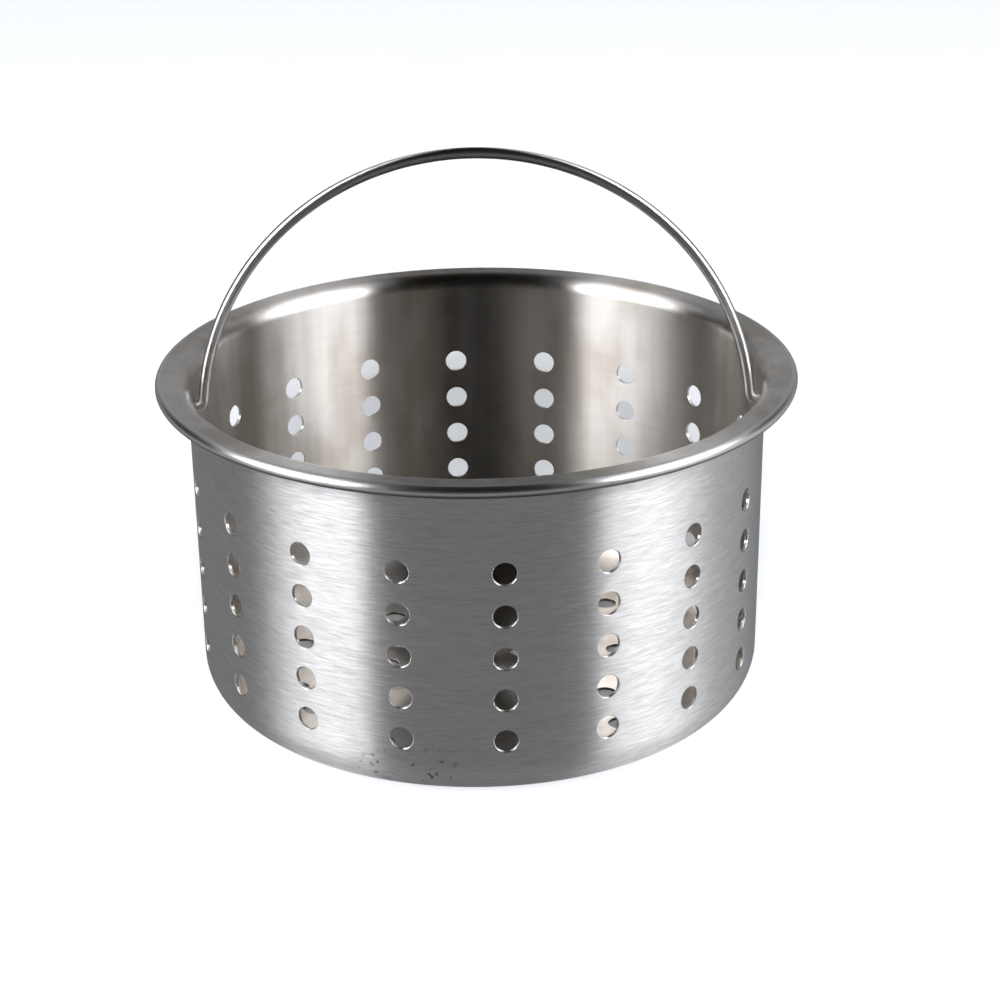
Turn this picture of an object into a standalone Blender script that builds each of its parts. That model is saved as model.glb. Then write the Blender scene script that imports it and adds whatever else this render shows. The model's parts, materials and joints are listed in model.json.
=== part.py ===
"""Perforated strainer basket with a wire bail handle.

A deep-drawn stainless cup has a flared lip rolled into a bead, rows of round holes in its wall
and rings of them in its floor. One bent wire, the bail, turns in two holes under the lip.
The origin is the middle of the floor's underside, +Z is up, and the bail turns about X.
Lengths below are in millimetres. The scene is in metres.
"""

import math

import bmesh
import bpy
from mathutils import Matrix, Vector

MM = 0.001

# Cup
RIM_RADIUS = 55.5
BASKET_HEIGHT = 58.5
SHEET = 0.55
WALL_RADIUS_TOP = 50.0
WALL_RADIUS_BOTTOM = 49.7
FLARE_RADIUS = 2.7
BEAD_RADIUS = 1.05
FLOOR_CORNER_RADIUS = 7.0
FACETS_PER_COLUMN = 3
BEAD_SIDES = 12
FLARE_STEPS = 3
CORNER_STEPS = 5

# Perforation
HOLE_RADIUS = 2.0
WALL_HOLE_SIDES = 10
FLOOR_HOLE_SIDES = 8
WALL_COLUMNS = 18
WALL_ROWS = 5
TOP_ROW_HEIGHT = 41.3
ROW_PITCH = 7.5
COLUMN_PHASE = 4.6
FLOOR_RINGS = 4
FLOOR_RING_PITCH = 8.5
HOLES_PER_RING_STEP = 6
CUTTER_LENGTH = 6.0

# Bail
WIRE_RADIUS = 0.95
PIVOT_HEIGHT = 51.4
PIVOT_HOLE_RADIUS = 1.3
PIVOT_HOLE_SIDES = 16
ARCH_RADIUS = 47.8
ARCH_CENTRE_DROP = 3.1
ELBOW_RADIUS = 1.5
TIP_REACH = 52.2
ARCH_STEPS = 40
ELBOW_STEPS = 4
WIRE_BEVEL_RESOLUTION = 2


def empty_scene():
    """Remove every object, so that the script builds the same thing each time."""
    for obj in list(bpy.data.objects):
        bpy.data.objects.remove(obj, do_unlink=True)


def new_collection(name):
    collection = bpy.data.collections.new(name)
    bpy.context.scene.collection.children.link(collection)
    return collection


def steel(name, colour, roughness):
    material = bpy.data.materials.new(name)
    material.use_nodes = True
    shader = material.node_tree.nodes["Principled BSDF"]
    shader.inputs["Base Color"].default_value = (*colour, 1.0)
    shader.inputs["Metallic"].default_value = 1.0
    shader.inputs["Roughness"].default_value = roughness
    return material


def arc(centre, radius, start, end, steps):
    """Points on an arc in the profile's plane, both ends included, angles in degrees."""
    points = []
    for step in range(steps + 1):
        angle = math.radians(start + (end - start) * step / steps)
        points.append((centre[0] + radius * math.cos(angle), centre[1] + radius * math.sin(angle)))
    return points


def bead_outline():
    """The rolled edge, from its top round its outside to its inner side.

    Its flats touch the bead's circle, so the top, the outer side and the bottom are true.
    """
    half_side = 180.0 / BEAD_SIDES
    corner_radius = BEAD_RADIUS / math.cos(math.radians(half_side))
    centre = (RIM_RADIUS - BEAD_RADIUS, BASKET_HEIGHT - BEAD_RADIUS)
    start = 90.0 - half_side
    steps = BEAD_SIDES * 3 // 4
    return arc(centre, corner_radius, start, start - steps * 2.0 * half_side, steps)


def cup_profile():
    """The sheet's section, down its outer side and back up its inner side.

    Both ends are on the axis, so the turned shape closes there.
    """
    flare_centre = (WALL_RADIUS_TOP + FLARE_RADIUS - SHEET, BASKET_HEIGHT - FLARE_RADIUS)
    corner_centre = (WALL_RADIUS_BOTTOM - FLOOR_CORNER_RADIUS, FLOOR_CORNER_RADIUS)
    points = bead_outline()
    points.append((RIM_RADIUS - 2.0 * BEAD_RADIUS, BASKET_HEIGHT - SHEET))
    points += arc(flare_centre, FLARE_RADIUS - SHEET, 90.0, 180.0, FLARE_STEPS)
    points += arc(corner_centre, FLOOR_CORNER_RADIUS, 0.0, -90.0, CORNER_STEPS)
    points.append((0.0, 0.0))
    points.append((0.0, SHEET))
    points += arc(corner_centre, FLOOR_CORNER_RADIUS - SHEET, -90.0, 0.0, CORNER_STEPS)
    points += arc(flare_centre, FLARE_RADIUS, 180.0, 90.0, FLARE_STEPS)
    return points


def turned_cup(collection):
    """The whole cup as one turned solid, with each flat stretch as a single face."""
    profile = cup_profile()
    on_axis = profile.index((0.0, 0.0))
    mesh = bpy.data.meshes.new("cup_profile")
    vertices = [(radius * MM, 0.0, height * MM) for radius, height in profile]
    count = len(vertices)
    edges = [(i, (i + 1) % count) for i in range(count) if i != on_axis]
    mesh.from_pydata(vertices, edges, [])
    turned = bpy.data.objects.new("cup_turned", mesh)
    collection.objects.link(turned)

    screw = turned.modifiers.new("turn", "SCREW")
    screw.axis = "Z"
    screw.steps = WALL_COLUMNS * FACETS_PER_COLUMN
    screw.render_steps = screw.steps
    screw.use_merge_vertices = True
    screw.merge_threshold = 0.00001
    screw.use_smooth_shade = True

    # A column of holes then lies in the middle of one flat facet of the wall.
    facet = 360.0 / (WALL_COLUMNS * FACETS_PER_COLUMN)
    turned.rotation_euler.z = math.radians(COLUMN_PHASE - 90.0 - facet / 2.0)
    bpy.context.view_layer.update()

    evaluated = turned.evaluated_get(bpy.context.evaluated_depsgraph_get())
    cup_mesh = bpy.data.meshes.new_from_object(evaluated)
    cup_mesh.transform(turned.matrix_world)
    bpy.data.objects.remove(turned, do_unlink=True)

    shape = bmesh.new()
    shape.from_mesh(cup_mesh)
    bmesh.ops.remove_doubles(shape, verts=shape.verts, dist=0.000005)
    bmesh.ops.dissolve_limit(
        shape, angle_limit=math.radians(0.2), verts=shape.verts, edges=shape.edges)
    shape.to_mesh(cup_mesh)
    shape.free()
    cup = bpy.data.objects.new("basket", cup_mesh)
    collection.objects.link(cup)
    return cup


def add_cutter(shape, centre, direction, radius, sides):
    """Add one round cutter to shape, its length along direction and one flat facing up."""
    turn = direction.to_track_quat("Z", "Y").to_matrix().to_4x4()
    half_side = Matrix.Rotation(math.pi / sides, 4, "Z")
    bmesh.ops.create_cone(
        shape, cap_ends=True, segments=sides, radius1=radius * MM, radius2=radius * MM,
        depth=CUTTER_LENGTH * MM, matrix=Matrix.Translation(centre * MM) @ turn @ half_side)


def outward(azimuth):
    """Unit vector pointing away from the axis, azimuth in degrees from -Y towards +X."""
    angle = math.radians(azimuth)
    return Vector((math.sin(angle), -math.cos(angle), 0.0))


def add_wall_holes(shape):
    for column in range(WALL_COLUMNS):
        direction = outward(COLUMN_PHASE + column * 360.0 / WALL_COLUMNS)
        for row in range(WALL_ROWS):
            centre = direction * WALL_RADIUS_BOTTOM
            centre.z = TOP_ROW_HEIGHT - row * ROW_PITCH
            add_cutter(shape, centre, direction, HOLE_RADIUS, WALL_HOLE_SIDES)


def add_floor_holes(shape):
    up = Vector((0.0, 0.0, 1.0))
    add_cutter(shape, Vector((0.0, 0.0, 0.0)), up, HOLE_RADIUS, FLOOR_HOLE_SIDES)
    for ring in range(1, FLOOR_RINGS + 1):
        count = ring * HOLES_PER_RING_STEP
        for hole in range(count):
            centre = outward(COLUMN_PHASE + hole * 360.0 / count) * ring * FLOOR_RING_PITCH
            add_cutter(shape, centre, up, HOLE_RADIUS, FLOOR_HOLE_SIDES)


def add_pivot_holes(shape):
    for side in (-1.0, 1.0):
        direction = Vector((side, 0.0, 0.0))
        centre = direction * WALL_RADIUS_TOP
        centre.z = PIVOT_HEIGHT
        add_cutter(shape, centre, direction, PIVOT_HOLE_RADIUS, PIVOT_HOLE_SIDES)


def perforations(collection):
    """Every hole's cutter, in one object."""
    shape = bmesh.new()
    add_wall_holes(shape)
    add_floor_holes(shape)
    add_pivot_holes(shape)
    mesh = bpy.data.meshes.new("perforations")
    shape.to_mesh(mesh)
    shape.free()
    cutter = bpy.data.objects.new("perforations", mesh)
    cutter.hide_render = True
    cutter.display_type = "WIRE"
    collection.objects.link(cutter)
    return cutter


def make_basket(parts, cutters):
    basket = turned_cup(parts)
    holes = basket.modifiers.new("holes", "BOOLEAN")
    holes.operation = "DIFFERENCE"
    holes.solver = "EXACT"
    holes.object = perforations(cutters)
    basket.data.set_sharp_from_angle(angle=math.radians(35.0))
    basket.data.materials.append(steel("basket_steel", (0.60, 0.59, 0.58), 0.30))
    return basket


def bail_route():
    """The wire's centre line in the bail's own plane, from tip to tip, about the pivot axis.

    The arch is an arc whose centre is a little under the pivot. Near the wall each leg turns
    outwards through an elbow and runs along the pivot axis.
    """
    leg_end = math.degrees(math.asin(
        (ELBOW_RADIUS + ARCH_CENTRE_DROP) / (ARCH_RADIUS + ELBOW_RADIUS)))
    arch = arc((0.0, -ARCH_CENTRE_DROP), ARCH_RADIUS, leg_end, 180.0 - leg_end, ARCH_STEPS)
    elbow_x = (ARCH_RADIUS + ELBOW_RADIUS) * math.cos(math.radians(leg_end))
    right = arc((elbow_x, ELBOW_RADIUS), ELBOW_RADIUS, -90.0, -180.0 + leg_end, ELBOW_STEPS)
    left = [(-x, z) for x, z in reversed(right)]
    return [(TIP_REACH, 0.0)] + right + arch[1:-1] + left + [(-TIP_REACH, 0.0)]


def make_bail(collection):
    """One bent wire, with its origin on the axis that it turns about."""
    route = bail_route()
    curve = bpy.data.curves.new("bail_handle", "CURVE")
    curve.dimensions = "3D"
    curve.bevel_depth = WIRE_RADIUS * MM
    curve.bevel_resolution = WIRE_BEVEL_RESOLUTION
    curve.use_fill_caps = True
    spline = curve.splines.new("POLY")
    spline.points.add(len(route) - 1)
    for point, (x, z) in zip(spline.points, route):
        point.co = (x * MM, 0.0, z * MM, 1.0)
    spline.use_smooth = True
    bail = bpy.data.objects.new("bail_handle", curve)
    bail.location = (0.0, 0.0, PIVOT_HEIGHT * MM)
    bail.data.materials.append(steel("handle_wire", (0.62, 0.61, 0.60), 0.12))
    collection.objects.link(bail)
    return bail


def main():
    empty_scene()
    parts = new_collection("basket_strainer")
    cutters = new_collection("cutters")
    make_basket(parts, cutters)
    make_bail(parts)


main()
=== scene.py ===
"""Looks for the strainer basket: a brushed stainless cup and its bright wire bail.

The cup is rebuilt as one smooth sheet with a rolled rim and cleanly punched holes, and the bail as
one round wire, each in the place of its CAD solid. Lengths below are in millimetres and the scene
is in metres. Azimuths turn round the cup's axis, from -Y, the camera's side, towards +X.
"""

import json
import math

import bmesh
import bpy
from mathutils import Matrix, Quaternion, Vector
from mathutils.geometry import delaunay_2d_cdt


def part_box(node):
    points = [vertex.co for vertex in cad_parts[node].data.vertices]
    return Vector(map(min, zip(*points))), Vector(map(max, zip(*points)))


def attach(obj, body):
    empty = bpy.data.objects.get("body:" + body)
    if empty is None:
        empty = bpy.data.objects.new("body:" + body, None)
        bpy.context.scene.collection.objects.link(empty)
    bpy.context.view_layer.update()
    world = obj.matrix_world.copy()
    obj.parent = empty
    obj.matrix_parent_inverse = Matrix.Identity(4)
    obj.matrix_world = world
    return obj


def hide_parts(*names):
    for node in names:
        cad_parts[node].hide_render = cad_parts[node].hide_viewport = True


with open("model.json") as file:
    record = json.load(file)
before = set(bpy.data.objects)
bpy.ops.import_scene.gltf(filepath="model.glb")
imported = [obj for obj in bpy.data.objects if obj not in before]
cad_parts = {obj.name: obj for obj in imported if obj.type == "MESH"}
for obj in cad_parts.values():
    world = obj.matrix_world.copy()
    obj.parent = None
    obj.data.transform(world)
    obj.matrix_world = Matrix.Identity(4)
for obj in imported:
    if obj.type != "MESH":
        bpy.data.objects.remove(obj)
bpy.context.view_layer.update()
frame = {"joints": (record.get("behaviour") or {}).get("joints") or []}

MM = 0.001

# The cup's sheet: its height is the CAD's
BASKET_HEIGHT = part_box("basket")[1].z / MM
RIM_RADIUS = 55.5
SHEET = 0.55
WALL_RADIUS_TOP = 50.0
WALL_RADIUS_BOTTOM = 49.7
FLARE_RADIUS = 2.7
BEAD_RADIUS = 1.05
BEAD_SWEEP = 260.0
FLOOR_CORNER_RADIUS = 7.0

# Its holes
HOLE_RADIUS = 2.0
WALL_COLUMNS = 18
WALL_ROWS = 5
TOP_ROW_HEIGHT = 41.3
ROW_PITCH = 7.5
COLUMN_PHASE = 4.6
FLOOR_RINGS = 4
FLOOR_RING_PITCH = 8.5
HOLES_PER_RING_STEP = 6
PIVOT_HOLE_RADIUS = 1.3
OUTER_EDGE_ROUND = 0.14
INNER_EDGE_ROUND = 0.07

# The bail's wire: it turns about the CAD's hinge
PIVOT_HEIGHT = frame["joints"][0]["pos_m"][2] / MM
WIRE_RADIUS = 0.95
ARCH_RADIUS = 47.8
ARCH_CENTRE_DROP = 3.1
ELBOW_RADIUS = 1.5
TIP_REACH = 52.2
TIP_ROUND = 0.3

# How finely the meshes are built
BLOCK_STEPS = 8
GAP_STEPS = 8
BAND_STEPS = 12
BEAD_STEPS = 26
BEAD_END_STEPS = 6
FLARE_STEPS = 10
CORNER_STEPS = 14
EDGE_STEPS = 3
FLOOR_HOLE_SIDES = 32
PIVOT_BLOCK_HALF = 2.6
WIRE_SIDES = 24
ARCH_STEPS = 160
ELBOW_STEPS = 14
STUB_STEPS = 6
TIP_STEPS = 4
KEEP_INSIDE = 1
MERGE_DISTANCE = 1e-6

# Brushed steel: strokes of the brush outside, runs and stains of use inside, and pits at the foot.
# A noise moves tones and roughnesses between their two values, and edges are where a change starts
# and ends. No roughness falls below 0.275, where the denoiser takes steel for a mirror and cuts its
# reflections hard
STEEL_COLOUR = (0.555, 0.55, 0.55)
INSIDE_COLOUR = (0.55, 0.53, 0.51)
STAINED_COLOUR = (0.44, 0.405, 0.365)
INSIDE = "inside"
NOISE_RANGE = (0.3, 0.7)
NOISE_ROUGHNESS = 0.6
FINE_STROKE_LENGTH = 3.2
FINE_STROKE_WIDTH = 0.26
BROAD_STROKE_LENGTH = 12.0
BROAD_STROKE_WIDTH = 1.1
BROAD_STROKE_SHARE = 0.6
STROKE_DEPTH = 0.014
INSIDE_STROKE_SHARE = 0.15
OUTSIDE_ROUGHNESS = (0.28, 0.34)
INSIDE_ROUGHNESS = (0.28, 0.30)
OUTSIDE_TONES = (0.80, 1.15)
INSIDE_TONES = (0.88, 1.08)
BROAD_TONES = (0.96, 1.03)
RUN_WIDTH = 4.0
RUN_HEIGHT = 90.0
SMEAR_WIDTH = 11.0
SMEAR_HEIGHT = 24.0
STAIN_EDGES = (0.56, 0.36)
STAIN_STRENGTH = 0.9
PIT_SIZE = 1.0
PIT_EDGES = (0.72, 0.76)
PIT_DARKENING = 0.6
PIT_PATCH = (-11.0, -45.0, 0.0)
PIT_PATCH_RADIUS = 14.0

# The bead. Its painted shade on the underside is full where its facing falls to the first edge, and gone at
# the second
BEAD_WAVE_DEPTH = 0.01
BEAD_UNDERSIDE_SHADE_EDGES = (-0.48, 0.0)
BEAD_UNDERSIDE_SHADE_TONE = 0.20
BEAD_TONES = (0.93, 1.05)
BEAD_ROUGHNESS = (0.28, 0.31)
BEAD_SPREAD = 0.8

# The wire
WIRE_COLOUR = (0.46, 0.455, 0.45)
GRAIN = "grain"
DIE_LINES = (5.0, 5.0)
DIE_LINE_LENGTH = 9.0
DIE_LINE_DEPTH = 0.02
DIE_LINE_ROUGHNESS = (0.28, 0.30)
WEAR_SCALE = (1.0, 1.0, 0.3)
WEAR_ROUGHNESS = (0.0, 0.02)
WEAR_TONES = (0.92, 1.03)

# All the steel spreads its reflections up and down. The cup's tangent runs round it, so it needs a
# quarter turn
FULL_SPREAD = 1.0
QUARTER_TURN = 0.25

# The light that the steel mirrors. Each panel has azimuths and elevations where it starts, is full,
# fades and ends, and a strength: a softbox on the left and on the right, below each the table that
# it lights, and above each the wall that it lights
PANELS = (
    ((-43.0, -48.0, -71.0, -102.0), (8.0, 20.0, 32.0, 42.0), 17.5),
    ((47.0, 51.0, 74.0, 112.0), (8.0, 20.0, 32.0, 42.0), 15.0),
    ((-42.0, -49.0, -64.0, -104.0), (-80.0, -60.0, 6.0, 20.0), 0.16),
    ((58.0, 68.0, 96.0, 162.0), (-80.0, -60.0, 6.0, 20.0), 0.46),
    ((-58.0, -75.0, -115.0, -150.0), (28.0, 42.0, 60.0, 78.0), 1.10),
    ((58.0, 75.0, 115.0, 160.0), (28.0, 42.0, 60.0, 78.0), 1.50),
)
TABLE_FRONT_GREY = 0.36
TABLE_BACK_GREY = 0.25
ROOM_GREY = 0.004
BACK_GREY = 0.40
BACK_AZIMUTHS = (125.0, 160.0)
BACK_TOPS = (34.0, 56.0)
HORIZON_BLUR = 5.0
LIGHT_TINT = (0.99, 1.0, 1.02)

# The lamp in front, which lights only the table top
KEY_LIGHT_DISTANCE = 3000.0
KEY_LIGHT_ELEVATION = 24.0
KEY_LIGHT_SIZE = 1000.0
KEY_LIGHT_POWER = 432.0

# The table top, and a dark disc painted as the shadow in the gap between it and the cup's floor
FLOOR_REACH = 6000.0
FLOOR_SIDES = 96
FLOOR_COLOUR = (0.366, 0.372, 0.386)
FLOOR_TONES = (0.99, 1.0)
FLOOR_SPOT_SIZE = 25.0
FLOOR_ROUGHNESS = 0.9
FLOOR_GLOSS = 0.1
UNDER_FLOOR_RADIUS = 42.5
UNDER_FLOOR_HEIGHT = -0.1
UNDER_FLOOR_SIDES = 64
UNDER_FLOOR_SHADOW_COLOUR = (0.02, 0.02, 0.02, 1.0)

# The camera
CAMERA_DISTANCE = 433.1
CAMERA_TARGET_HEIGHT = 29.25
CAMERA_ELEVATION = 23.66
CAMERA_YAW = 0.51
CAMERA_PITCH = 0.54
CAMERA_ROLL = -0.65
CAMERA_LENS = 87.4
CAMERA_SENSOR = 36.0
CAMERA_NEAR = 10.0


class Sheet:
    """A mesh in the making: points with their normals, and faces."""

    def __init__(self):
        self.points = []
        self.normals = []
        self.faces = []

    def add(self, point, normal):
        self.points.append(point * MM)
        self.normals.append(normal)
        return len(self.points) - 1

    def join(self, first, second):
        """Quads between two closed rings of the same length."""
        count = len(first)
        for here in range(count):
            there = (here + 1) % count
            self.faces.append((first[here], first[there], second[there], second[here]))

    def drop_unused(self):
        used = sorted({corner for face in self.faces for corner in face})
        place = {corner: index for index, corner in enumerate(used)}
        self.points = [self.points[corner] for corner in used]
        self.normals = [self.normals[corner] for corner in used]
        self.faces = [[place[corner] for corner in face] for face in self.faces]

    def finish(self, name, materials):
        self.drop_unused()
        mesh = bpy.data.meshes.new(name)
        mesh.from_pydata(self.points, [], self.faces)
        builder = bmesh.new()
        builder.from_mesh(mesh)
        bmesh.ops.recalc_face_normals(builder, faces=builder.faces)
        builder.to_mesh(mesh)
        builder.free()
        mesh.polygons.foreach_set("use_smooth", [True] * len(mesh.polygons))
        mesh.normals_split_custom_set_from_vertices(self.normals)
        for material in materials:
            mesh.materials.append(material)
        piece = bpy.data.objects.new(name, mesh)
        bpy.context.scene.collection.objects.link(piece)
        return piece


def polar(radius, azimuth, height):
    return Vector((radius * math.sin(azimuth), -radius * math.cos(azimuth), height))


def arc(centre, radius, start, end, steps, facing=0.0):
    """Section points on an arc, as radius, height and the angle that the surface faces."""
    points = []
    for step in range(steps + 1):
        degrees = start + (end - start) * step / steps
        angle = math.radians(degrees)
        points.append((
            centre[0] + radius * math.cos(angle),
            centre[1] + radius * math.sin(angle),
            degrees + facing,
        ))
    return points


def spread(start, end, steps):
    return [start + (end - start) * step / steps for step in range(steps + 1)]


def wall_top():
    return BASKET_HEIGHT - FLARE_RADIUS


def wall_radius(height):
    """The wall's outside, which narrows a little towards the floor."""
    rise = (height - FLOOR_CORNER_RADIUS) / (wall_top() - FLOOR_CORNER_RADIUS)
    return WALL_RADIUS_BOTTOM + (WALL_RADIUS_TOP - WALL_RADIUS_BOTTOM) * rise


def column_lines():
    """Azimuths of the mesh's upright lines, and the first line of each column of holes."""
    half_block = ROW_PITCH / 2.0 / WALL_RADIUS_TOP
    pitch = 2.0 * math.pi / WALL_COLUMNS
    lines = []
    starts = []
    for column in range(WALL_COLUMNS):
        middle = math.radians(COLUMN_PHASE) + column * pitch
        starts.append(len(lines))
        lines += spread(middle - half_block, middle + half_block, BLOCK_STEPS)[:-1]
        lines += spread(middle + half_block, middle - half_block + pitch, GAP_STEPS)[:-1]
    return lines, starts


def wall_heights():
    """Heights of the wall's level lines, downwards, and the first line of each row of holes."""
    top_of_rows = TOP_ROW_HEIGHT + ROW_PITCH / 2.0
    heights = spread(wall_top(), top_of_rows, BAND_STEPS)[:-1]
    starts = []
    for row in range(WALL_ROWS):
        top = top_of_rows - row * ROW_PITCH
        starts.append(len(heights))
        heights += spread(top, top - ROW_PITCH, BLOCK_STEPS)[:-1]
    heights += [top_of_rows - WALL_ROWS * ROW_PITCH, FLOOR_CORNER_RADIUS]
    return heights, starts


def edge_section():
    """How the sheet's edge is rounded round a hole: growth in radius, depth and turn in degrees."""
    section = []
    for turn in spread(0.0, 90.0, EDGE_STEPS):
        angle = math.radians(turn)
        growth = OUTER_EDGE_ROUND * (1.0 - math.sin(angle))
        section.append((growth, OUTER_EDGE_ROUND * (1.0 - math.cos(angle)), turn))
    for turn in spread(90.0, 180.0, EDGE_STEPS):
        angle = math.radians(turn)
        growth = INNER_EDGE_ROUND * (1.0 - math.sin(angle))
        section.append((growth, SHEET - INNER_EDGE_ROUND * (1.0 + math.cos(angle)), turn))
    return section


class WallSpot:
    """A flat map of the wall round one hole: across, up, and depth into the sheet."""

    def __init__(self, azimuth, height):
        self.azimuth = azimuth
        self.height = height

    def point(self, across, up, depth):
        height = self.height + up
        azimuth = self.azimuth + across / WALL_RADIUS_TOP
        return polar(wall_radius(height) - depth, azimuth, height)

    def axes(self, across):
        azimuth = self.azimuth + across / WALL_RADIUS_TOP
        outward = polar(1.0, azimuth, 0.0)
        return Vector((0.0, 0.0, 1.0)).cross(outward), Vector((0.0, 0.0, 1.0)), outward


class FloorSpot:
    """The same map for a hole in the floor, whose outside faces down."""

    def __init__(self, x, y):
        self.x = x
        self.y = y

    def point(self, across, up, depth):
        return Vector((self.x + across, self.y + up, depth))

    def axes(self, across):
        return Vector((1.0, 0.0, 0.0)), Vector((0.0, 1.0, 0.0)), Vector((0.0, 0.0, -1.0))


def hole_angles(sides, start):
    return [start + 2.0 * math.pi * side / sides for side in range(sides)]


def line_hole(sheet, spot, radius, angles):
    """The rounded edge and the inside of a hole. Returns its outer and its inner ring."""
    rings = []
    for growth, depth, turn in edge_section():
        reach = radius + growth
        tilt = math.radians(turn)
        ring = []
        for angle in angles:
            across = reach * math.cos(angle)
            up = reach * math.sin(angle)
            side, rise, outward = spot.axes(across)
            away = side * math.cos(angle) + rise * math.sin(angle)
            normal = outward * math.cos(tilt) - away * math.sin(tilt)
            ring.append(sheet.add(spot.point(across, up, depth), normal))
        rings.append(ring)
    for first, second in zip(rings, rings[1:]):
        sheet.join(first, second)
    return rings[0], rings[-1]


def block_border(row, column, height, width, columns):
    """The mesh lines round a block, from its lower left corner, as pairs of row and column."""
    border = [(row + height, column + step) for step in range(width)]
    border += [(row + height - step, column + width) for step in range(height)]
    border += [(row, column + width - step) for step in range(width)]
    border += [(row + step, column) for step in range(height)]
    return [(line, place % columns) for line, place in border]


def punch(sheet, spot, radius, outer_border, inner_border):
    """A hole in the wall, joined to the border of the block left open for it on both skins."""
    towards_lower_left = -0.75 * math.pi
    angles = hole_angles(len(outer_border), towards_lower_left)
    outer_ring, inner_ring = line_hole(sheet, spot, radius, angles)
    for border, ring, depth, turned in (
        (outer_border, outer_ring, 0.0, 1.0),
        (inner_border, inner_ring, SHEET, -1.0),
    ):
        halfway = []
        for here, angle in enumerate(angles):
            start = sheet.points[border[here]] / MM
            end = sheet.points[ring[here]] / MM
            middle = (start + end) / 2.0
            azimuth = math.atan2(middle.x, -middle.y)
            point = polar(wall_radius(middle.z) - depth, azimuth, middle.z)
            halfway.append(sheet.add(point, polar(turned, azimuth, 0.0)))
        sheet.join(border, halfway)
        sheet.join(halfway, ring)


def floor_spots():
    spots = [FloorSpot(0.0, 0.0)]
    for ring in range(1, FLOOR_RINGS + 1):
        for azimuth in hole_angles(ring * HOLES_PER_RING_STEP, 0.0):
            place = polar(ring * FLOOR_RING_PITCH, azimuth, 0.0)
            spots.append(FloorSpot(place.x, place.y))
    return spots


def add_floor(sheet, outer_border, inner_border):
    """The perforated floor, the same triangles on both skins."""
    outer = list(outer_border)
    inner = list(inner_border)
    owner = [None] * len(outer)
    edges = []
    for number, spot in enumerate(floor_spots()):
        angles = hole_angles(FLOOR_HOLE_SIDES, 0.0)
        outer_ring, inner_ring = line_hole(sheet, spot, HOLE_RADIUS, angles)
        first = len(outer)
        for side in range(FLOOR_HOLE_SIDES):
            edges.append((first + side, first + (side + 1) % FLOOR_HOLE_SIDES))
        outer += outer_ring
        inner += inner_ring
        owner += [number] * FLOOR_HOLE_SIDES
    flat = [(sheet.points[index] / MM).to_2d() for index in outer]
    border = list(range(len(outer_border)))
    mesh = delaunay_2d_cdt(flat, edges, [border], KEEP_INSIDE, MERGE_DISTANCE)
    _, _, triangles, sources, _, _ = mesh
    for triangle in triangles:
        corners = [sources[corner][0] for corner in triangle]
        owners = {owner[corner] for corner in corners}
        covers_hole = len(owners) == 1 and None not in owners
        if covers_hole:
            continue
        sheet.faces.append(tuple(outer[corner] for corner in corners))
        sheet.faces.append(tuple(inner[corner] for corner in reversed(corners)))


def nearest(values, wanted):
    return min(range(len(values)), key=lambda index: abs(values[index] - wanted))


def hole_blocks(columns, column_starts, heights, row_starts):
    """Each hole in the wall: spot, radius, and its block's top line, left line, height and width."""
    blocks = []
    for column, left in enumerate(column_starts):
        azimuth = math.radians(COLUMN_PHASE) + column * 2.0 * math.pi / WALL_COLUMNS
        for row, top in enumerate(row_starts):
            spot = WallSpot(azimuth, TOP_ROW_HEIGHT - row * ROW_PITCH)
            blocks.append((spot, HOLE_RADIUS, top, left, BLOCK_STEPS, BLOCK_STEPS))
    pivot_reach = PIVOT_BLOCK_HALF / WALL_RADIUS_TOP
    right_side, left_side = 0.5 * math.pi, 1.5 * math.pi
    for azimuth in (right_side, left_side):
        left = nearest(columns, azimuth - pivot_reach)
        right = nearest(columns, azimuth + pivot_reach)
        top = nearest(heights, PIVOT_HEIGHT + PIVOT_BLOCK_HALF)
        bottom = nearest(heights, PIVOT_HEIGHT - PIVOT_BLOCK_HALF)
        spot = WallSpot(azimuth, PIVOT_HEIGHT)
        blocks.append((spot, PIVOT_HOLE_RADIUS, top, left, bottom - top, right - left))
    return blocks


def fill_wall(sheet, wall, open_cells):
    """One skin of the wall, apart from the cells left open for the holes."""
    for line, (upper, lower) in enumerate(zip(wall, wall[1:])):
        for place in range(len(upper)):
            if (line, place) in open_cells:
                continue
            beside = (place + 1) % len(upper)
            sheet.faces.append((upper[place], lower[place], lower[beside], upper[beside]))


def mark_inside(piece, sheet):
    """Which skin each point belongs to, for the steel: 1 inside the cup and 0 outside."""
    marks = piece.data.attributes.new(INSIDE, "FLOAT", "POINT")
    for mark, position, normal in zip(marks.data, sheet.points, sheet.normals):
        outward = polar(1.0, math.atan2(position.x, -position.y), 0.0)
        mark.value = 1.0 if normal.z > normal.dot(outward) else 0.0


def mark_bead(piece, inner_reach):
    """The second material for the faces beyond a radius."""
    for face in piece.data.polygons:
        if (face.center / MM).to_2d().length > inner_reach:
            face.material_index = 1


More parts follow.
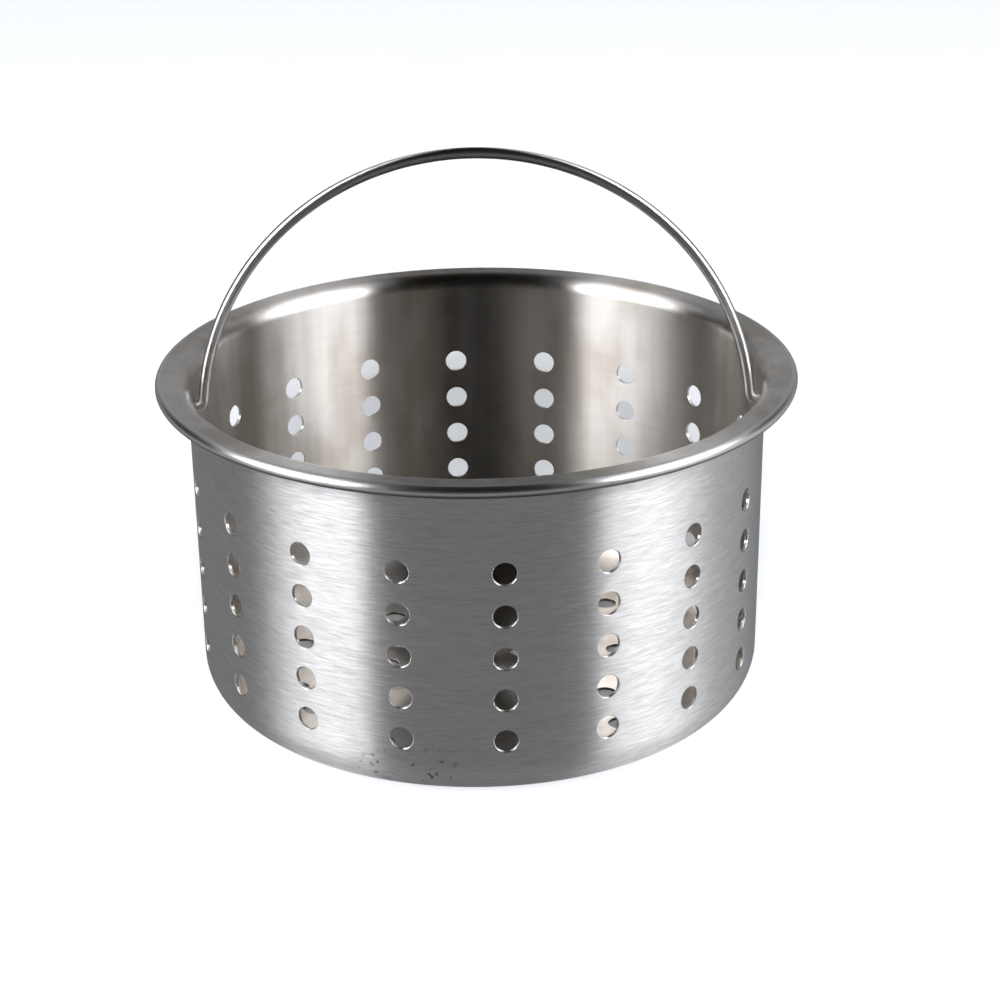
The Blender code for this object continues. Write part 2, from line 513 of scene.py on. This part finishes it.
def make_cup(brushed, polished):
    """Rings of points turned round the axis, with the holes punched and the floor set in."""
    sheet = Sheet()
    columns, column_starts = column_lines()
    heights, row_starts = wall_heights()

    def ring(section_point):
        radius, height, facing = section_point
        tilt = math.radians(facing)
        made = []
        for azimuth in columns:
            normal = polar(math.cos(tilt), azimuth, math.sin(tilt))
            made.append(sheet.add(polar(radius, azimuth, height), normal))
        return made

    bead_centre = (RIM_RADIUS - BEAD_RADIUS, BASKET_HEIGHT - BEAD_RADIUS)
    bead_end = 90.0 - BEAD_SWEEP
    end_angle = math.radians(bead_end)
    middle_of_sheet = BEAD_RADIUS - SHEET / 2.0
    end_centre = (
        bead_centre[0] + middle_of_sheet * math.cos(end_angle),
        bead_centre[1] + middle_of_sheet * math.sin(end_angle),
    )
    flare_centre = (WALL_RADIUS_TOP + FLARE_RADIUS - SHEET, wall_top())
    corner_centre = (WALL_RADIUS_BOTTOM - FLOOR_CORNER_RADIUS, FLOOR_CORNER_RADIUS)

    above = arc(bead_centre, BEAD_RADIUS, 90.0, bead_end, BEAD_STEPS)
    above += arc(end_centre, SHEET / 2.0, bead_end, bead_end - 180.0, BEAD_END_STEPS)[1:]
    above += arc(bead_centre, BEAD_RADIUS - SHEET, bead_end, 90.0, BEAD_STEPS // 2, 180.0)[1:]
    above += arc(flare_centre, FLARE_RADIUS - SHEET, 90.0, 180.0, FLARE_STEPS, 180.0)[:-1]
    outer_rings = [ring(point) for point in above]
    outer_wall = [ring((wall_radius(height), height, 0.0)) for height in heights]
    outer_corner = arc(corner_centre, FLOOR_CORNER_RADIUS, 0.0, -90.0, CORNER_STEPS)[1:]
    outer_rings += [outer_wall[0]]
    lower_rings = [outer_wall[-1]] + [ring(point) for point in outer_corner]

    inner_wall = [ring((wall_radius(height) - SHEET, height, 180.0)) for height in heights]
    inner_radius = FLOOR_CORNER_RADIUS - SHEET
    inner_corner = arc(corner_centre, inner_radius, -90.0, 0.0, CORNER_STEPS, 180.0)[:-1]
    inner_rings = [ring(point) for point in inner_corner] + [inner_wall[-1]]
    inner_flare = arc(flare_centre, FLARE_RADIUS, 180.0, 90.0, FLARE_STEPS)[1:]
    upper_rings = [inner_wall[0]] + [ring(point) for point in inner_flare] + [outer_rings[0]]

    for rings in (outer_rings, lower_rings, inner_rings, upper_rings):
        for first, second in zip(rings, rings[1:]):
            sheet.join(first, second)

    open_cells = set()
    for spot, radius, top, left, tall, wide in hole_blocks(columns, column_starts, heights, row_starts):
        border = block_border(top, left, tall, wide, len(columns))
        punch(
            sheet, spot, radius,
            [outer_wall[line][place] for line, place in border],
            [inner_wall[line][place] for line, place in border],
        )
        for line in range(top, top + tall):
            for place in range(left, left + wide):
                open_cells.add((line, place % len(columns)))
    fill_wall(sheet, outer_wall, open_cells)
    fill_wall(sheet, inner_wall, open_cells)
    add_floor(sheet, lower_rings[-1], inner_rings[0])
    piece = sheet.finish("strainer_cup", [brushed, polished])
    mark_inside(piece, sheet)
    mark_bead(piece, bead_centre[0] - BEAD_RADIUS)
    return piece


def bail_path():
    """The wire's centre line from tip to tip: across, up from the pivot, and its direction."""
    leg_end = math.asin((ELBOW_RADIUS + ARCH_CENTRE_DROP) / (ARCH_RADIUS + ELBOW_RADIUS))
    elbow_x = (ARCH_RADIUS + ELBOW_RADIUS) * math.cos(leg_end)
    path = [(x, 0.0, math.pi) for x in spread(TIP_REACH - TIP_ROUND, elbow_x, STUB_STEPS)[:-1]]
    for angle in spread(1.5 * math.pi, math.pi + leg_end, ELBOW_STEPS)[:-1]:
        path.append((
            elbow_x + ELBOW_RADIUS * math.cos(angle),
            ELBOW_RADIUS + ELBOW_RADIUS * math.sin(angle),
            angle - 0.5 * math.pi,
        ))
    arch = [
        (ARCH_RADIUS * math.cos(angle), ARCH_RADIUS * math.sin(angle) - ARCH_CENTRE_DROP,
         angle + 0.5 * math.pi)
        for angle in spread(leg_end, math.pi - leg_end, ARCH_STEPS)
    ]
    path += arch
    for x, up, heading in reversed(path[:-len(arch)]):
        path.append((-x, up, -heading))
    return path


def tip_stations(x, heading, outwards):
    """The rounded end of the wire, from its flat face to the full wire."""
    stations = []
    for tilt in spread(0.5 * math.pi, 0.0, TIP_STEPS)[:-1]:
        reach = outwards * TIP_ROUND * math.sin(tilt)
        radius = WIRE_RADIUS - TIP_ROUND * (1.0 - math.cos(tilt))
        stations.append((x + reach, 0.0, heading, radius, -outwards * tilt))
    return stations


def make_bail(material):
    """A round section carried along the wire's path."""
    path = bail_path()
    stations = tip_stations(path[0][0], path[0][2], 1.0)
    stations += [(x, up, heading, WIRE_RADIUS, 0.0) for x, up, heading in path]
    stations += reversed(tip_stations(path[-1][0], path[-1][2], -1.0))
    sheet = Sheet()
    rings = []
    grain = []
    length = 0.0
    before = stations[0]
    for x, up, heading, radius, tilt in stations:
        length += math.hypot(x - before[0], up - before[1])
        before = (x, up)
        along = Vector((math.cos(heading), 0.0, math.sin(heading)))
        inward = Vector((-math.sin(heading), 0.0, math.cos(heading)))
        middle = Vector((x, 0.0, PIVOT_HEIGHT + up))
        ring = []
        for angle in hole_angles(WIRE_SIDES, 0.0):
            away = inward * math.cos(angle) + Vector((0.0, math.sin(angle), 0.0))
            normal = away * math.cos(tilt) + along * math.sin(tilt)
            ring.append(sheet.add(middle + away * radius, normal))
            grain += [math.cos(angle), math.sin(angle), length]
        rings.append(ring)
    for first, second in zip(rings, rings[1:]):
        sheet.join(first, second)
    sheet.faces.append(tuple(reversed(rings[0])))
    sheet.faces.append(tuple(rings[-1]))
    piece = sheet.finish("bail_wire", [material])
    piece.data.attributes.new(GRAIN, "FLOAT_VECTOR", "POINT").data.foreach_set("vector", grain)
    return piece


class Nodes:
    """A node tree in the making, where sockets and plain values are wired alike."""

    def __init__(self, tree):
        self.tree = tree
        tree.nodes.clear()

    def add(self, kind, inputs, **settings):
        made = self.tree.nodes.new("ShaderNode" + kind)
        for name, value in settings.items():
            setattr(made, name, value)
        for name, value in inputs.items():
            if isinstance(value, bpy.types.NodeSocket):
                self.tree.links.new(value, made.inputs[name])
            else:
                made.inputs[name].default_value = value
        return made

    def math(self, operation, *values):
        return self.add("Math", dict(enumerate(values)), operation=operation).outputs[0]

    def fade(self, value, start, end, low=0.0, high=1.0):
        """A smooth change from low at start to high at end."""
        inputs = {"Value": value, "From Min": start, "From Max": end, "To Min": low, "To Max": high}
        return self.add("MapRange", inputs, interpolation_type="SMOOTHSTEP").outputs["Result"]

    def blend(self, factor, first, second):
        """The first number where factor is 0, the second where it is 1."""
        return self.add("Mix", {0: factor, 2: first, 3: second}).outputs[0]

    def mix_colours(self, factor, first, second):
        """The same for two colours, a socket or three numbers each."""
        mixed = self.add("Mix", {0: factor}, data_type="RGBA")
        for place, colour in ((6, first), (7, second)):
            if isinstance(colour, bpy.types.NodeSocket):
                self.tree.links.new(colour, mixed.inputs[place])
            else:
                mixed.inputs[place].default_value = (*colour, 1.0)
        return mixed.outputs[2]

    def stretch(self, noise, low, high):
        """A noise, stretched from low to high over its usual range and held there."""
        start, end = NOISE_RANGE
        inputs = {"Value": noise, "From Min": start, "From Max": end, "To Min": low, "To Max": high}
        return self.add("MapRange", inputs, clamp=True).outputs["Result"]

    def product(self, first, second):
        return self.math("MULTIPLY", first, second)

    def grey(self, value, tint=(1.0, 1.0, 1.0)):
        """A number as a colour, with a tint."""
        inputs = {"X": value, "Y": value, "Z": value}
        plain = self.add("CombineXYZ", inputs).outputs["Vector"]
        return self.add("VectorMath", {0: plain, 1: tint}, operation="MULTIPLY").outputs["Vector"]

    def noise(self, vector, detail, w=None):
        inputs = {"Vector": vector, "Scale": 1.0, "Detail": detail, "Roughness": NOISE_ROUGHNESS}
        if w is None:
            return self.add("TexNoise", inputs).outputs["Fac"]
        return self.add("TexNoise", {**inputs, "W": w}, noise_dimensions="4D").outputs["Fac"]

    def scaled_noise(self, place, scale, detail):
        """A noise over a place, with a scale for each axis."""
        scaled = self.add("VectorMath", {0: place, 1: scale}, operation="MULTIPLY")
        return self.noise(scaled.outputs["Vector"], detail)

    def bump(self, height, depth):
        return self.add("Bump", {"Height": height, "Distance": depth * MM}).outputs["Normal"]


def patch_scale(width, height):
    """The scale of a noise whose patches have a width and a height in millimetres."""
    return (1.0 / (width * MM), 1.0 / (width * MM), 1.0 / (height * MM))


def turned_noise(nodes, length, width, detail):
    """Streaks that run round the cup's axis on every face, of a length and a width."""
    place = nodes.add("TexCoord", {}).outputs["Object"]
    x, y, z = nodes.add("SeparateXYZ", {"Vector": place}).outputs
    radius = nodes.math("SQRT", nodes.math("ADD", nodes.product(x, x), nodes.product(y, y)))
    inputs = {
        "X": nodes.math("DIVIDE", x, length * MM),
        "Y": nodes.math("DIVIDE", y, length * MM),
        "Z": nodes.math("DIVIDE", z, width * MM),
    }
    vector = nodes.add("CombineXYZ", inputs).outputs["Vector"]
    return nodes.noise(vector, detail, nodes.math("DIVIDE", radius, width * MM))


def brush_strokes(nodes):
    """The fine and the broad strokes of the brush."""
    fine = turned_noise(nodes, FINE_STROKE_LENGTH, FINE_STROKE_WIDTH, detail=3.0)
    broad = turned_noise(nodes, BROAD_STROKE_LENGTH, BROAD_STROKE_WIDTH, detail=2.0)
    return fine, broad


def round_tangent(nodes):
    """The direction round the cup."""
    return nodes.add("Tangent", {}, direction_type="RADIAL", axis="Z").outputs["Tangent"]


def new_material(name):
    material = bpy.data.materials.new(name)
    material.use_nodes = True
    return material, Nodes(material.node_tree)


def close_material(nodes, kind, inputs):
    shader = nodes.add(kind, inputs)
    nodes.add("OutputMaterial", {"Surface": shader.outputs["BSDF"]})


def brushed_steel():
    """Satin sheet, brushed round the cup: crisp strokes outside, smoother and a little stained inside."""
    material, nodes = new_material("brushed_steel")
    place = nodes.add("TexCoord", {}).outputs["Object"]
    inside = nodes.add("Attribute", {}, attribute_name=INSIDE).outputs["Fac"]
    fine, broad = brush_strokes(nodes)
    smear = nodes.scaled_noise(place, patch_scale(SMEAR_WIDTH, SMEAR_HEIGHT), detail=2.5)
    runs = nodes.scaled_noise(place, patch_scale(RUN_WIDTH, RUN_HEIGHT), detail=2.0)

    roughness = nodes.blend(
        inside, nodes.stretch(fine, *OUTSIDE_ROUGHNESS), nodes.stretch(smear, *INSIDE_ROUGHNESS))
    fine_tone = nodes.blend(
        inside, nodes.stretch(fine, *OUTSIDE_TONES), nodes.stretch(runs, *INSIDE_TONES))
    strokes = nodes.product(fine_tone, nodes.stretch(broad, *BROAD_TONES))

    pits = nodes.scaled_noise(place, patch_scale(PIT_SIZE, PIT_SIZE), detail=0.0)
    patch = tuple(value * MM for value in PIT_PATCH)
    away = nodes.add("VectorMath", {0: place, 1: patch}, operation="DISTANCE").outputs["Value"]
    near = nodes.fade(away, PIT_PATCH_RADIUS * MM, 0.5 * PIT_PATCH_RADIUS * MM)
    pitted = nodes.product(nodes.fade(pits, *PIT_EDGES), near)
    darkening = nodes.product(pitted, PIT_DARKENING)
    tone = nodes.product(strokes, nodes.math("SUBTRACT", 1.0, darkening))

    stained = nodes.product(inside, nodes.fade(smear, *STAIN_EDGES, 0.0, STAIN_STRENGTH))
    tint = nodes.mix_colours(inside, STEEL_COLOUR, INSIDE_COLOUR)
    tint = nodes.mix_colours(stained, tint, STAINED_COLOUR)
    lines = nodes.math("ADD", fine, nodes.product(broad, BROAD_STROKE_SHARE))
    height = nodes.product(lines, nodes.blend(inside, 1.0, INSIDE_STROKE_SHARE))
    close_material(nodes, "BsdfPrincipled", {
        "Metallic": 1.0,
        "Base Color": nodes.grey(tone, tint),
        "Roughness": roughness,
        "Anisotropic": FULL_SPREAD,
        "Anisotropic Rotation": QUARTER_TURN,
        "Tangent": round_tangent(nodes),
        "Normal": nodes.bump(height, STROKE_DEPTH),
    })
    return material


def polished_bead():
    """The rolled edge: rubbed smoother than the sheet, with painted shade where it curls under."""
    material, nodes = new_material("polished_bead")
    fine, broad = brush_strokes(nodes)
    facing = nodes.add("TexCoord", {}).outputs["Normal"]
    upward = nodes.add("SeparateXYZ", {"Vector": facing}).outputs["Z"]
    # Painted shade: the base colour darkens where the bead faces down, under its curl
    unshaded = nodes.fade(upward, *BEAD_UNDERSIDE_SHADE_EDGES, BEAD_UNDERSIDE_SHADE_TONE, 1.0)
    close_material(nodes, "BsdfPrincipled", {
        "Metallic": 1.0,
        "Base Color": nodes.grey(nodes.product(unshaded, nodes.stretch(fine, *BEAD_TONES)), STEEL_COLOUR),
        "Roughness": nodes.stretch(fine, *BEAD_ROUGHNESS),
        "Anisotropic": BEAD_SPREAD,
        "Anisotropic Rotation": QUARTER_TURN,
        "Tangent": round_tangent(nodes),
        "Normal": nodes.bump(broad, BEAD_WAVE_DEPTH),
    })
    return material


def drawn_wire():
    """Bright wire, buffed level like the cup, with faint lines along it from the drawing die."""
    material, nodes = new_material("drawn_wire")
    grain = nodes.add("Attribute", {}, attribute_name=GRAIN).outputs["Vector"]
    die_lines = nodes.scaled_noise(grain, (*DIE_LINES, 1.0 / DIE_LINE_LENGTH), detail=3.0)
    wear = nodes.scaled_noise(grain, WEAR_SCALE, detail=3.0)
    roughness = nodes.math(
        "ADD", nodes.stretch(die_lines, *DIE_LINE_ROUGHNESS), nodes.stretch(wear, *WEAR_ROUGHNESS))
    upwards = nodes.add(
        "VectorTransform", {"Vector": (0.0, 0.0, 1.0)},
        vector_type="VECTOR", convert_from="OBJECT", convert_to="WORLD",
    )
    close_material(nodes, "BsdfPrincipled", {
        "Metallic": 1.0,
        "Base Color": nodes.grey(nodes.stretch(wear, *WEAR_TONES), WIRE_COLOUR),
        "Roughness": roughness,
        "Anisotropic": FULL_SPREAD,
        "Tangent": upwards.outputs["Vector"],
        "Normal": nodes.bump(die_lines, DIE_LINE_DEPTH),
    })
    return material


def light_steel():
    """What the steel mirrors: softboxes at the sides, a dim table and dark walls. The camera sees white."""
    world = bpy.data.worlds.new("studio")
    world.use_nodes = True
    bpy.context.scene.world = world
    nodes = Nodes(world.node_tree)
    direction = nodes.add("TexCoord", {}).outputs["Generated"]
    x, y, z = nodes.add("SeparateXYZ", {"Vector": direction}).outputs
    turn = nodes.math("DEGREES", nodes.math("ARCTAN2", x, nodes.product(y, -1.0)))
    rise = nodes.math("DEGREES", nodes.math("ARCSINE", z))
    above = nodes.fade(rise, -HORIZON_BLUR, HORIZON_BLUR)
    behind = nodes.fade(nodes.math("ABSOLUTE", turn), *BACK_AZIMUTHS)
    back_wall = nodes.product(behind, nodes.fade(rise, BACK_TOPS[1], BACK_TOPS[0]))
    table = nodes.blend(behind, TABLE_FRONT_GREY, TABLE_BACK_GREY)
    light = nodes.blend(above, table, nodes.blend(back_wall, ROOM_GREY, BACK_GREY))
    for (left, left_full, right_full, right), (low, low_full, high_full, high), strength in PANELS:
        width = nodes.product(nodes.fade(turn, left, left_full), nodes.fade(turn, right, right_full))
        height = nodes.product(nodes.fade(rise, low, low_full), nodes.fade(rise, high, high_full))
        glow = nodes.product(nodes.product(width, height), strength)
        light = nodes.math("ADD", light, glow)
    seen = nodes.add("LightPath", {}).outputs["Is Camera Ray"]
    shown = nodes.blend(seen, light, 1.0)
    background = nodes.add("Background", {"Color": nodes.grey(shown, LIGHT_TINT)})
    nodes.add("OutputWorld", {"Surface": background.outputs["Background"]})


def light_table():
    """The lamp in front. Steel doesn't mirror it, so it only lights the table and casts a soft shadow."""
    data = bpy.data.lights.new("key_light", "AREA")
    data.shape = "DISK"
    data.size = KEY_LIGHT_SIZE * MM
    data.energy = KEY_LIGHT_POWER
    key_light = bpy.data.objects.new("key_light", data)
    elevation = math.radians(KEY_LIGHT_ELEVATION)
    towards_light = Vector((0.0, -math.cos(elevation), math.sin(elevation)))
    key_light.location = towards_light * KEY_LIGHT_DISTANCE * MM
    key_light.rotation_mode = "QUATERNION"
    key_light.rotation_quaternion = towards_light.to_track_quat("Z", "Y")
    key_light.visible_glossy = False
    key_light.visible_camera = False
    bpy.context.scene.collection.objects.link(key_light)


def make_disc(name, radius, height, sides, material):
    """A level disc round the cup's axis."""
    mesh = bpy.data.meshes.new(name)
    rim = [polar(radius, azimuth, height) * MM for azimuth in hole_angles(sides, 0.0)]
    mesh.from_pydata(rim, [], [tuple(range(sides))])
    mesh.materials.append(material)
    disc = bpy.data.objects.new(name, mesh)
    bpy.context.scene.collection.objects.link(disc)
    return disc


def make_under_floor():
    """A near-black disc painted as the shadow in the gap between the cup's floor and the table, seen
    through the floor's holes.
    """
    material, nodes = new_material("shadow")
    close_material(nodes, "BsdfDiffuse", {"Color": UNDER_FLOOR_SHADOW_COLOUR})
    return make_disc("under_floor", UNDER_FLOOR_RADIUS, UNDER_FLOOR_HEIGHT, UNDER_FLOOR_SIDES, material)


def make_floor():
    """A pale matt table top, which the steel doesn't mirror."""
    material, nodes = new_material("matt_floor")
    place = nodes.add("TexCoord", {}).outputs["Object"]
    spots = nodes.scaled_noise(place, patch_scale(FLOOR_SPOT_SIZE, FLOOR_SPOT_SIZE), detail=4.0)
    close_material(nodes, "BsdfPrincipled", {
        "Base Color": nodes.grey(nodes.stretch(spots, *FLOOR_TONES), FLOOR_COLOUR),
        "Roughness": FLOOR_ROUGHNESS,
        "Specular IOR Level": FLOOR_GLOSS,
    })
    floor = make_disc("floor", FLOOR_REACH, 0.0, FLOOR_SIDES, material)
    floor.visible_glossy = False
    return floor


def place_camera():
    """The photograph's view, from in front and a little above the rim."""
    elevation = math.radians(CAMERA_ELEVATION)
    forward = Vector((0.0, math.cos(elevation), -math.sin(elevation)))
    side = Vector((1.0, 0.0, 0.0))
    up = side.cross(forward)
    yaw = math.tan(math.radians(CAMERA_YAW))
    pitch = math.tan(math.radians(CAMERA_PITCH))
    aim = forward + side * yaw + up * pitch
    roll = Quaternion((0.0, 0.0, 1.0), math.radians(CAMERA_ROLL))
    data = bpy.data.cameras.new("camera")
    data.lens = CAMERA_LENS
    data.sensor_width = CAMERA_SENSOR
    data.clip_start = CAMERA_NEAR * MM
    camera = bpy.data.objects.new("camera", data)
    target = Vector((0.0, 0.0, CAMERA_TARGET_HEIGHT))
    camera.location = (target - forward * CAMERA_DISTANCE) * MM
    camera.rotation_mode = "QUATERNION"
    camera.rotation_quaternion = aim.to_track_quat("-Z", "Y") @ roll
    bpy.context.scene.collection.objects.link(camera)
    bpy.context.scene.camera = camera


cup = make_cup(brushed_steel(), polished_bead())
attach(cup, "cup")
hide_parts("basket")

bail = make_bail(drawn_wire())
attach(bail, "bail")
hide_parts("bail_handle")

make_floor()
make_under_floor()
light_steel()
light_table()
place_camera()
bpy.context.scene.view_settings.view_transform = "Standard"
